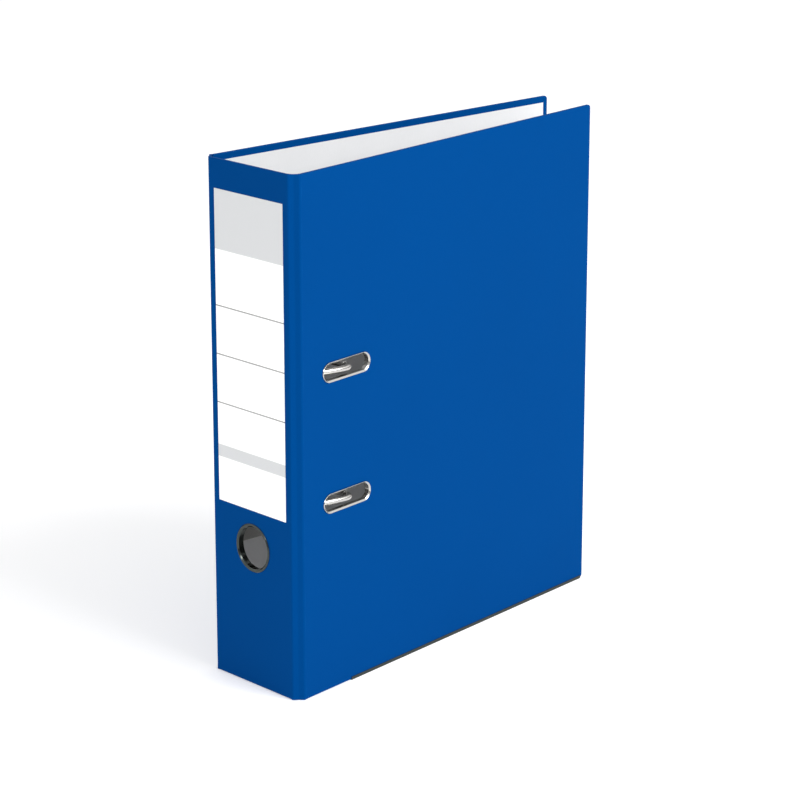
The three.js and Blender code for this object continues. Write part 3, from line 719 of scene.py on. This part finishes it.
# %% The three panels
CREASE_RADIUS = 5.8
FRONT_TURN = pi / 2 + CLOSED_TILT
back_start = CREASE_RADIUS * tan(pi / 4)
front_start = CREASE_RADIUS * tan(FRONT_TURN / 2)
SEAM = 0.005
HOLE_CLEARANCE = 0.2
RIVET_RADIUS = 2
RING_OUTER, RING_RIM, TUBE_WALL = 15, 2, 0.5
EYELET_WIDTH, EYELET_LENGTH, EYELET_RIM = 12.4, 42.5, 1.2
EYELET_MIDDLE = 44.75
EYELET_STRAIGHT = EYELET_LENGTH - EYELET_WIDTH

ring_height = middle_of("finger_ring")[2] / MM
eyelet_heights = {name: middle_of("eyelet_" + name)[2] / MM for name in ("lower", "upper")}
rivet_middles = [middle_of(f"rivet_{i}") for i in range(1, 5)]
rivet_places = [((y - spine_face) / MM, z / MM) for _, y, z in rivet_middles]
barrel = RING_OUTER - RING_RIM + TUBE_WALL
slot_radius = EYELET_WIDTH / 2 - EYELET_RIM + TUBE_WALL

panel("back", "back_cover", BACK, (back_start + SEAM, COVER_DEPTH), (False, True),
      [oval(place, RIVET_RADIUS + HOLE_CLEARANCE, steps=32) for place in rivet_places])
panel("spine", "spine", SPINE,
      (-SPINE_WIDTH / 2 + back_start + SEAM, SPINE_WIDTH / 2 - front_start - SEAM), (False, False),
      [oval((0, ring_height), barrel + HOLE_CLEARANCE)])
panel("front", "front_cover", FRONT, (front_start + SEAM, COVER_DEPTH), (False, True),
      [oval((EYELET_MIDDLE, z), slot_radius + HOLE_CLEARANCE, EYELET_STRAIGHT)
       for z in eyelet_heights.values()])

# %% [markdown]
# ## Creases
# Between two boards the film and the lining run on alone, glued back to back, and fold when the file opens.
# Pressing leaves a flat strip with a shallow groove down its middle, and a soft ridge where each board
# ends. The strip is drawn once across, thickened, and carried up the height.

# %% Ribbon helper
def offset_path(points, inside, distance):
    """A path moved inwards at right angles to itself."""
    shifted = []
    for i, point in enumerate(points):
        ahead = points[min(i + 1, len(points) - 1)] - points[max(i - 1, 0)]
        across = ahead.orthogonal().normalized()
        shifted.append(point + across * copysign(distance, across.dot(inside)))
    return shifted


def ribbon(near, far, low, high, taper=0.12):
    """A strip between two paths across, from one height to another, its ends softened."""
    count = len(near)
    corners, faces = [], []
    for z, close in ((low, 0.3), (low + taper, 0), (high - taper, 0), (high, 0.3)):
        corners += [(*p.lerp(q, close / 2), z) for p, q in zip(near, far)]
        corners += [(*q.lerp(p, close / 2), z) for p, q in zip(near, far)]
    ring = list(range(count)) + [count + i for i in reversed(range(count))]
    for level in range(3):
        start, following = level * 2 * count, (level + 1) * 2 * count
        for a, b in zip(ring, ring[1:] + ring[:1]):
            faces.append((start + a, start + b, following + b, following + a))
    for start in (0, 6 * count):
        faces += [
            (start + i, start + i + 1, start + count + i + 1, start + count + i) for i in range(count - 1)
        ]
    return mesh_of(corners, faces)


# %% [markdown]
# A crease has three layers: the outer skin over the whole height, the turn-in of that skin inside its upper
# and lower ends, and the lining. The two inner layers climb the end of each board to the level of the inner
# face, so nothing raw shows at the top. The wrap is gathered over each end of the crease and closes it.

# %% Creases
RIDGE = 1.2
GROOVE = 0.55
GATHER, GATHER_SAG = 0.5, 0.9
FLAP_CLIMB, LINING_CLIMB = 0.23, 0.05


def crease(name, edges, nodes):
    """edges are the two rims of the bend: a point on the outer face, the direction into the bend, and the
    direction into the board, in the frame of the whole file and in millimetres."""
    (a, towards_a, into_a), (b, towards_b, into_b) = edges
    ridges = a + towards_a * RIDGE, b + towards_b * RIDGE
    inside = (into_a + into_b).normalized()
    middle = (ridges[0] + ridges[1]) / 2 + inside * GROOVE
    outer = [Vector(p) for p in filleted([a, ridges[0], middle, ridges[1], b], [0, 1.6, 3.5, 1.6, 0], 8)]

    def climbing(depth, clearance, height):
        feet = [end - towards * (SEAM + clearance) for end, towards in ((a, towards_a), (b, towards_b))]
        across = offset_path(outer, inside, depth)[1:-1]
        return [feet[0] + into_a * height, feet[0] + into_a * depth, *across,
                feet[1] + into_b * depth, feet[1] + into_b * height]

    def layer(depth, clearance, thickness, height, low, high):
        return ribbon(climbing(depth, clearance + thickness, height),
                      climbing(depth + thickness, clearance, height), low, high)

    corners = a + into_a * TURN_IN_BACK, b + into_b * TURN_IN_BACK
    steps = [i / (len(outer) - 1) for i in range(len(outer))]
    gather = [corners[0].lerp(corners[1], t) - inside * GATHER_SAG * sin(pi * t) for t in steps]
    under = offset_path(outer, inside, FILM * 1.05)
    flaps = [(BOTTOM, BOTTOM + TURN_IN), (TOP - TURN_IN, TOP)]
    ends = [(BOTTOM, BOTTOM + GATHER), (TOP - GATHER, TOP)]
    layers = {
        "skin": [ribbon(outer, offset_path(outer, inside, FILM), BOTTOM, TOP)],
        "turn_in": [layer(FILM * 1.05, FLAP_CLIMB, FILM, TURN_IN_BACK, *flap) for flap in flaps]
        + [ribbon(under, gather, *end) for end in ends],
        "lining": [layer(FILM * 2.2, LINING_CLIMB, LINING, PANEL, BOTTOM + LINER_INSET, TOP - LINER_INSET)],
    }
    for title, strips in layers.items():
        slot = "white_liner" if title == "lining" else "blue_film"
        strip = piece(f"{name}_crease_{title}", joined(*strips), Matrix.Identity(4), None, slot,
                      *(nodes if title == "skin" else ()))
        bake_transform(strip)
    print(name, "crease is", round((b - a).length, 2), "mm wide")


def crease_rim(where, along, way):
    """Where a panel ends at a crease, so far along it; way is -1 if the crease lies towards its start."""
    into, onwards = (where.col[axis].xy.normalized() for axis in range(2))
    return (where @ Vector((0, along * MM, 0))).xy / MM, onwards * way, into


crease("back",
       (crease_rim(BACK, back_start, -1), crease_rim(SPINE, -SPINE_WIDTH / 2 + back_start, -1)),
       ("back_crease_cover_side", "back_crease_spine_side"))
crease("front",
       (crease_rim(SPINE, SPINE_WIDTH / 2 - front_start, 1), crease_rim(FRONT, front_start, -1)),
       ("front_crease_spine_side", "front_crease_cover_side"))

# %% [markdown]
# ## Label, finger ring and eyelets
# The label is one sheet of paper with barely rounded corners. The ring is drawn from tube: a rim rolled
# outwards over the film, a barrel through the panel, and a curl on the inside that holds it over a washer.
# The eyelets are made the same way, but long. Turned profiles let highlights run true round the rim.

# %% Label
LABEL_CORNER = 0.3
low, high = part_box("spine_label")
label_outline = filleted(rectangle(
    (low.x - spine_middle) / MM, (high.x - spine_middle) / MM, low.z / MM, high.z / MM,
), LABEL_CORNER)
label_sheet = bevelled(prism(label_outline, (low.y - spine_face) / MM, (high.y - spine_face) / MM), 0.04, 2)
piece("label_sheet", label_sheet, SPINE, "spine", "label_paper", "spine_label")
print("label", round((high.z - low.z) / MM, 1), "mm high")


# %% Rims
RIM_PROUD = 0.75
CURL_PROUD = 0.5
CURL_WIDTH = 1.1
THROAT = 0.85
WASHER_RIM = 1.5


def rolled_rim(bore, rim, curl_face):
    """The closed profile of a ring or an eyelet: a rim with a sloping throat, a barrel, and a curl inside."""
    tube = bore + TUBE_WALL
    curl_back = curl_face + CURL_PROUD
    crest = bore + THROAT
    shoulder = (crest + rim) / 2
    soft = (rim - crest) * 0.2
    return filleted([
        (rim, -GLUE), (tube, -GLUE), (tube, curl_face), (tube + CURL_WIDTH, curl_face),
        (tube + CURL_WIDTH, curl_back), (bore, curl_back), (bore, -GLUE),
        (crest, -RIM_PROUD), (shoulder, -RIM_PROUD), (rim, -RIM_PROUD * 0.45),
    ], [0, 0.05, 0.05, 0.05, 0.24, 0.22, 0.1, soft, soft, soft / 2])


washer_face = PANEL + GLUE
ring = turned(rolled_rim(RING_OUTER - RING_RIM, RING_OUTER, washer_face + CURL_PROUD + GLUE), 128)
# The ring's dark finish is a painted dark reflection on bright nickel.
piece("rolled_finger_ring", moved(ring, z=ring_height), SPINE, "spine", "dark_nickel", "finger_ring")
washer = turned(filleted(rectangle(
    barrel + HOLE_CLEARANCE, RING_OUTER + WASHER_RIM, washer_face, washer_face + CURL_PROUD,
), 0.12), 96)
piece("ring_washer", moved(washer, z=ring_height), SPINE, "spine", "dark_nickel", "finger_ring_washer")
for name, z in eyelet_heights.items():
    profile = rolled_rim(EYELET_WIDTH / 2 - EYELET_RIM, EYELET_WIDTH / 2, washer_face)
    eyelet = moved(turned(profile, straight=EYELET_STRAIGHT), y=EYELET_MIDDLE, z=z)
    piece(f"long_eyelet_{name}", eyelet, FRONT, "front_cover", "nickel", "eyelet_" + name)

# %% [markdown]
# ## Edge rails
# A folded strip of steel protects the lower edge of each cover, which slides on the shelf. Its section is a
# channel with soft bends, carried along the edge.

# %% Edge rails
RAIL_STEEL = 0.35
RAIL_LEG = 2.1
RAIL_ENDS = (48, COVER_DEPTH - 2.5)
outer_leg, inner_leg = -GLUE - RAIL_STEEL, TURN_IN_BACK + GLUE + RAIL_STEEL
channel = filleted([
    (outer_leg, RAIL_LEG), (outer_leg, 0), (inner_leg, 0), (inner_leg, RAIL_LEG),
    (inner_leg - RAIL_STEEL, RAIL_LEG), (inner_leg - RAIL_STEEL, RAIL_STEEL),
    (outer_leg + RAIL_STEEL, RAIL_STEEL), (outer_leg + RAIL_STEEL, RAIL_LEG),
], [0.14, 0.32, 0.32, 0.14, 0.1, 0.04, 0.04, 0.1])
for name, where, body in (("back", BACK, "back_cover"), ("front", FRONT, "front_cover")):
    rail = prism(channel, *RAIL_ENDS)
    rail.transform(Matrix(((0, 1, 0, 0), (1, 0, 0, 0), (0, 0, 1, 0), (0, 0, 0, 1))))
    piece(name + "_rail_channel", rail, where, body, "dark_nickel", name + "_edge_rail")

# %% [markdown]
# ## Base plate
# The mechanism stands on a pressed plate. A bead stiffens it, two ears carry the lever's pin, and two loops
# hold the arch wire down. Each feature is an outline given a thickness, its edges broken by a bevel, and
# joined to the sheet.

# %% Base plate
PLATE, PLATE_ACROSS, PLATE_HALF, PLATE_CORNER = 0.9, (8, 58), 79, 6
PLATE_BACK = GLUE + PLATE
PIVOT = (3.4, 14)
LEVER_PIVOT = (9.0, 19)
POST_DEPTH, POST_HALF = 50, 40
WIRE_RADIUS = 2
LEVER_WIDTH = 12
SHEET = 1
ROOT = 0.3
BEAD_PROUD, BEAD_EDGE = 0.7, 0.6
EAR_BOSS, EAR_FOOT, EAR_GAP = 3.4, 5, 0.35
LOOP_GAP, LOOP_HALF, LOOP_PLACE = 0.25, 3, 25
PIN_HOLE = 1.6


def arm_end(pivot, arm, angle):
    return pivot[0] + arm * sin(angle), pivot[1] + arm * cos(angle)


def stamped(outline, low, high, edge=0.15):
    return bevelled(prism(outline, low, high), edge)


def bead(across, half, corner, face, steps):
    """A stiffening bead that stands out of the face of a sheet."""
    outline = filleted(rectangle(*across, -half, half), corner, steps)
    return bevelled(prism(outline, face - ROOT, face + BEAD_PROUD), BEAD_EDGE, 4)


def ear(low):
    foot, (_, middle) = PLATE_BACK - ROOT, LEVER_PIVOT
    outline = [(foot, middle - EAR_FOOT), *arc_points(LEVER_PIVOT, EAR_BOSS, -90, 90, 12),
               (foot, middle + EAR_FOOT)]
    return upright(stamped(outline, low, low + SHEET))


def loop(place):
    """A strap over the arch wire: two legs and a half round."""
    foot, (_, middle), inner = PLATE_BACK - ROOT, PIVOT, WIRE_RADIUS + LOOP_GAP
    outline = [
        (foot, middle - inner - PLATE), *arc_points(PIVOT, inner + PLATE, -90, 90, 12),
        (foot, middle + inner + PLATE), (foot, middle + inner),
        *arc_points(PIVOT, inner, 90, -90, 12), (foot, middle - inner),
    ]
    return upright(stamped(outline, place - LOOP_HALF, place + LOOP_HALF))


def on_mechanism(name, mesh, body, node_name):
    piece(name, mesh, MECHANISM, body, "nickel", node_name)


sheet = stamped(filleted(rectangle(*PLATE_ACROSS, -PLATE_HALF, PLATE_HALF), PLATE_CORNER, 10),
                GLUE, PLATE_BACK, 0.25)
ear_face = LEVER_WIDTH / 2 + EAR_GAP
plate = joined(
    sheet, bead((30.5, 33.5), 64, 1.4, PLATE_BACK, 8), ear(ear_face), ear(-ear_face - SHEET),
    loop(-LOOP_PLACE), loop(LOOP_PLACE),
)
pin_hole = upright(bore(LEVER_PIVOT, PIN_HOLE, -LEVER_WIDTH, LEVER_WIDTH))
plate_rivets = [(y, z - plate_middle / MM) for y, z in rivet_places]
posts = {"lower": -POST_HALF, "upper": POST_HALF}
holes = [(place, RIVET_RADIUS + HOLE_CLEARANCE) for place in plate_rivets]
holes += [((POST_DEPTH, z), PIN_HOLE) for z in posts.values()]
plate = cut(plate, pin_hole, *(bore(*hole, -PAST, PLATE_BACK + PAST, 40) for hole in holes))
on_mechanism("pressed_base_plate", plate, "back_cover", "base_plate")
print("base plate has", len(plate.polygons), "faces")

# %% [markdown]
# ## Posts, pins and rivets
# These are turned parts. The posts have a flange that sits on the plate and a dimple that takes the cone at
# the tip of an arch. The rivets are tubes: a domed head outside the cover, and a rolled rim on the plate.

# %% Turned parts
STUD_RADIUS, STUD_END = 1.5, 0.1
FLANGE_RADIUS, FLANGE = 4.4, 0.9
POST_RADIUS, DIMPLE_RADIUS, DIMPLE_DEPTH = 2.2, 1.85, 0.86
RIVET_HEAD, RIVET_CURL, CURL_HEIGHT, RIVET_BORE = 4.5, 3.2, 0.7, 1.3


def lathed(profile, rounds, steps=48):
    """Turned work of a small diameter."""
    return turned(filleted(profile, rounds, 4), steps)


post_top = (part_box("post_lower")[1].x - liner_face) / MM
seat = PLATE_BACK + GLUE
flange = seat + FLANGE
post_profile = [
    (0, STUD_END), (STUD_RADIUS, STUD_END), (STUD_RADIUS, seat), (FLANGE_RADIUS, seat),
    (FLANGE_RADIUS, flange), (POST_RADIUS, flange), (POST_RADIUS, post_top), (DIMPLE_RADIUS, post_top),
    (0, post_top - DIMPLE_DEPTH),
]
for name, z in posts.items():
    post = lathed(post_profile, [0, 0.1, 0.05, 0.15, 0.35, 0.3, 0.14, 0.12, 0])
    on_mechanism(f"turned_post_{name}", moved(post, y=POST_DEPTH, z=z), "back_cover", "post_" + name)

head, curl = -PANEL - GLUE, seat + CURL_HEIGHT
rivet_profile = [
    (0, head - RIM_PROUD), (RIVET_HEAD, head - RIM_PROUD), (RIVET_HEAD, head), (RIVET_RADIUS, head),
    (RIVET_RADIUS, seat), (RIVET_CURL, seat), (RIVET_CURL, curl), (RIVET_BORE, curl), (RIVET_BORE, 0), (0, 0),
]
for i, (y, z) in enumerate(plate_rivets, 1):
    rivet = lathed(rivet_profile, [0, 0.6, 0.08, 0.04, 0.04, 0.06, 0.34, 0.3, 0.2, 0])
    on_mechanism(f"tubular_rivet_{i}", moved(rivet, y=y, z=z), "back_cover", f"rivet_{i}")

# %% [markdown]
# ## Arch wire
# One wire makes both arches, both legs, the axle and the cranked middle. It is bent, so its route is straight
# runs joined by smooth bends. A round section is carried along it, and passed on from ring to ring so that
# it doesn't twist. Each tip is a blunt cone that drops into a post, drawn as a list of rings: how far each
# stands from the start of the tip, and its radius.

# %% Swept wire helper
def bent_route(points, bends, steps=14):
    """Straight runs joined by smooth bends; bends gives how far from its corner each bend starts."""
    corners = [Vector(p) for p in points]
    route = [corners[0]]
    for i, bend in enumerate(bends, 1):
        start = corners[i] + (corners[i - 1] - corners[i]).normalized() * bend
        end = corners[i] + (corners[i + 1] - corners[i]).normalized() * bend
        for k in range(steps + 1):
            t = k / steps
            route.append(start * (1 - t) ** 2 + corners[i] * 2 * t * (1 - t) + end * t * t)
    return route + [corners[-1]]


def swept(route, radii, sides=28):
    """A round section carried along a route, with a radius for each of its points."""
    corners = []
    side = (route[1] - route[0]).orthogonal().normalized()
    for i, (point, radius) in enumerate(zip(route, radii)):
        ahead = (route[min(i + 1, len(route) - 1)] - route[max(i - 1, 0)]).normalized()
        side = (side - ahead * side.dot(ahead)).normalized()
        over = ahead.cross(side)
        for k in range(sides):
            angle = 2 * pi * k / sides
            corners.append(point + (side * cos(angle) + over * sin(angle)) * radius)
    return lofted(corners, sides)


# %% Arch wire
CRANK_RADIUS, CRANK_ANGLE, CRANK_HALF = 6.6, radians(105), 12
TIP_GAP = 0.3
TIP_LENGTH = 0.5
TIP = [(-0.8, 0.1), (-0.68, 0.35), (0.0, 1.72), (0.02, 1.8), (0.12, 1.94), (0.3, 2.0)]
arch_top = (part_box("arch_wire")[1].x - liner_face) / MM - WIRE_RADIUS
crank = arm_end(PIVOT, CRANK_RADIUS, CRANK_ANGLE)
tip_x = post_top + TIP_GAP
upper_half = [
    (tip_x + TIP_LENGTH, POST_DEPTH, POST_HALF), (arch_top, POST_DEPTH, POST_HALF),
    (arch_top, PIVOT[1], POST_HALF), (*PIVOT, POST_HALF), (*PIVOT, CRANK_HALF), (*crank, CRANK_HALF),
]
lower_half = [(x, y, -z) for x, y, z in reversed(upper_half)]
bends = [4.8, 30, 5, 2.6, 2.6]
route = bent_route(upper_half + lower_half, bends + bends[::-1])
tips = [[Vector((tip_x + lift, POST_DEPTH, z)) for lift, _ in TIP] for z in (POST_HALF, -POST_HALF)]
taper = [radius for _, radius in TIP]
wire = swept(tips[0] + route + tips[1][::-1], taper + [WIRE_RADIUS] * len(route) + taper[::-1])
on_mechanism("bent_arch_wire", wire, "arches", "arch_wire")
print("arch wire reaches", round(arch_top + WIRE_RADIUS, 2), "mm over the lining")

# %% [markdown]
# ## Lever
# The lever is pressed from sheet into a channel: two cheeks joined by a web, with rounded folds, and a thumb
# tab at its top. The inside is cut out of a rounded solid, so the folds are round outside and the channel
# is clean inside. The roller runs between the cheeks, where there is no web.

# %% Lever
lever_top = (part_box("lever")[1].x - liner_face) / MM
BOSS, TAPER, WAIST, CHEEK_TOP = 4, 1.6, 2.6, 2.5
FLARE = (4, 1.7)
TAB_REACH, TAB_HALF, TAB_CORNER, TAB_EDGE = 9, 9.5, 4, 0.42
BEHIND, BELOW = -5, 30
ROLLER_ARM, ROLLER_ANGLE, ROLLER_RADIUS = 6, radians(120), 3
ROLLER_BOSS, ROLLER_HOLE = 2.4, 1.3
roller_at = arm_end(LEVER_PIVOT, ROLLER_ARM, ROLLER_ANGLE)
web_start = roller_at[0] + ROLLER_RADIUS + 1.5


def web_edge(x):
    return LEVER_PIVOT[1] + BOSS - TAPER * (x - LEVER_PIVOT[0]) / (lever_top - LEVER_PIVOT[0])


tip_edge = web_edge(lever_top)
cheek = [
    *arc_points(LEVER_PIVOT, BOSS, 90, 225), *arc_points(roller_at, ROLLER_BOSS, 225, 315),
    (roller_at[0] + ROLLER_RADIUS + 9.5, LEVER_PIVOT[1] - WAIST),
    (lever_top - FLARE[0], tip_edge - CHEEK_TOP - FLARE[1]), (lever_top, tip_edge - CHEEK_TOP),
    (lever_top, tip_edge),
]
half = LEVER_WIDTH / 2
channel_body = bevelled(upright(prism(cheek, -half, half)), 0.7, 4, 50)
inside = upright(prism([
    (web_start, web_edge(web_start) - SHEET), (lever_top + PAST, web_edge(lever_top) - SHEET),
    (lever_top + PAST, BEHIND), (BEHIND, BEHIND), (BEHIND, BELOW), (web_start, BELOW),
], -half + SHEET, half - SHEET))
tab_outline = filleted(
    rectangle(tip_edge - CHEEK_TOP - TAB_REACH, tip_edge, -TAB_HALF, TAB_HALF), TAB_CORNER, 8,
)
tab = bevelled(prism(tab_outline, lever_top - SHEET, lever_top), TAB_EDGE, 4)
roller_hole = upright(bore(roller_at, ROLLER_HOLE, -LEVER_WIDTH, LEVER_WIDTH))
lever_body = cut(joined(cut(channel_body, inside), tab), pin_hole, roller_hole)
on_mechanism("pressed_lever", lever_body, "lever", "lever")

# %% Lever pins and roller
PIN_RADIUS, PIN_HEAD, HEAD_HEIGHT = 1.5, 2.6, 0.9
ROLLER_PLAY, AXLE_RADIUS = 0.3, 1.2
pin_end = ear_face + SHEET + GLUE
pin_top = pin_end + HEAD_HEIGHT
pin = lathed([
    (0, -pin_top), (PIN_HEAD, -pin_top), (PIN_HEAD, -pin_end), (PIN_RADIUS, -pin_end),
    (PIN_RADIUS, pin_end), (PIN_HEAD, pin_end), (PIN_HEAD, pin_top), (0, pin_top),
], [0, 0.6, 0.08, 0.04, 0.04, 0.08, 0.6, 0], 40)
on_mechanism("lever_pivot_pin", moved(upright(pin), *LEVER_PIVOT), "back_cover", "lever_pin")
roller_half = half - SHEET - ROLLER_PLAY
roller = lathed(rectangle(ROLLER_HOLE, ROLLER_RADIUS, -roller_half, roller_half), 0.2)
on_mechanism("turned_roller", moved(upright(roller), *roller_at), "roller", "lever_roller")
axle = lathed(rectangle(0, AXLE_RADIUS, -half + GLUE, half - GLUE), [0, 0.15, 0.15, 0], 32)
on_mechanism("roller_axle", moved(upright(axle), *roller_at), "lever", "lever_roller_pin")

# %% [markdown]
# ## Compressor bar
# A strip with round ends slides on the posts and holds the sheets down. A raised bead keeps it stiff, and
# the holes are a running fit on the posts.

# %% Compressor bar
BAR, BAR_ACROSS, BAR_HALF, BAR_CORNER = 1.2, (42.5, 57.5), 60, 7.4
BAR_HOLE = 2.5
bar_face = flange + GLUE
bar_top = bar_face + BAR
bar = stamped(filleted(rectangle(*BAR_ACROSS, -BAR_HALF, BAR_HALF), BAR_CORNER, 14), bar_face, bar_top, 0.3)
bar = joined(bar, bead((47.5, 52.5), 32.5, 2.4, bar_top, 10))
bar_holes = [bore((POST_DEPTH, z), BAR_HOLE, bar_face - PAST, bar_top + PAST, 48) for z in posts.values()]
on_mechanism("sliding_compressor_bar", cut(bar, *bar_holes), "compressor", "compressor_bar")
